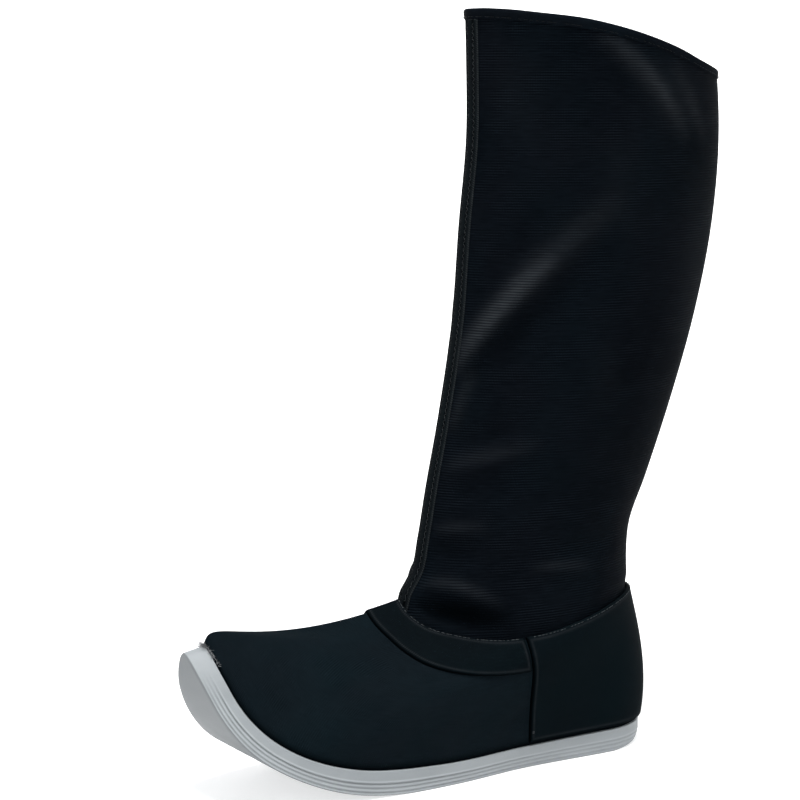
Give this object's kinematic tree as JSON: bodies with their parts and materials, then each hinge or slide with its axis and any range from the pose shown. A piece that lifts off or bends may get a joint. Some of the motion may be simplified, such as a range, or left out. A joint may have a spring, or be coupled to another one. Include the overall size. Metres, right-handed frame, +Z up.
{
  "type": "tall cloth boot",
  "caption": "Tall black cloth boot with an upturned toe, a back-leaning open shaft, heel counter and ankle band, on a light ribbed sole; worn on the foot and lower leg.",
  "frame": {"origin": "on the floor, under the middle of the boot's bounding box", "axes": "+X to the toe, +Y to the wearer's left, +Z up"},
  "size_m": [0.3296, 0.0918, 0.4059],
  "materials": {
    "light_grey_foam": "moulded, matt",
    "grey_lining": "matt",
    "black_shaft_cloth": "matt, fine ribbed weave",
    "black_twill": "matt, fine twill",
    "black_binding": "matt"
  },
  "bodies": {
    "root": {"sole": "light_grey_foam", "insole": "grey_lining", "upper": "black_shaft_cloth", "counter": "black_twill", "ankle_band": "black_twill", "front_seam_tape": "black_twill", "collar_binding": "black_binding"}
  },
  "joints": []
}
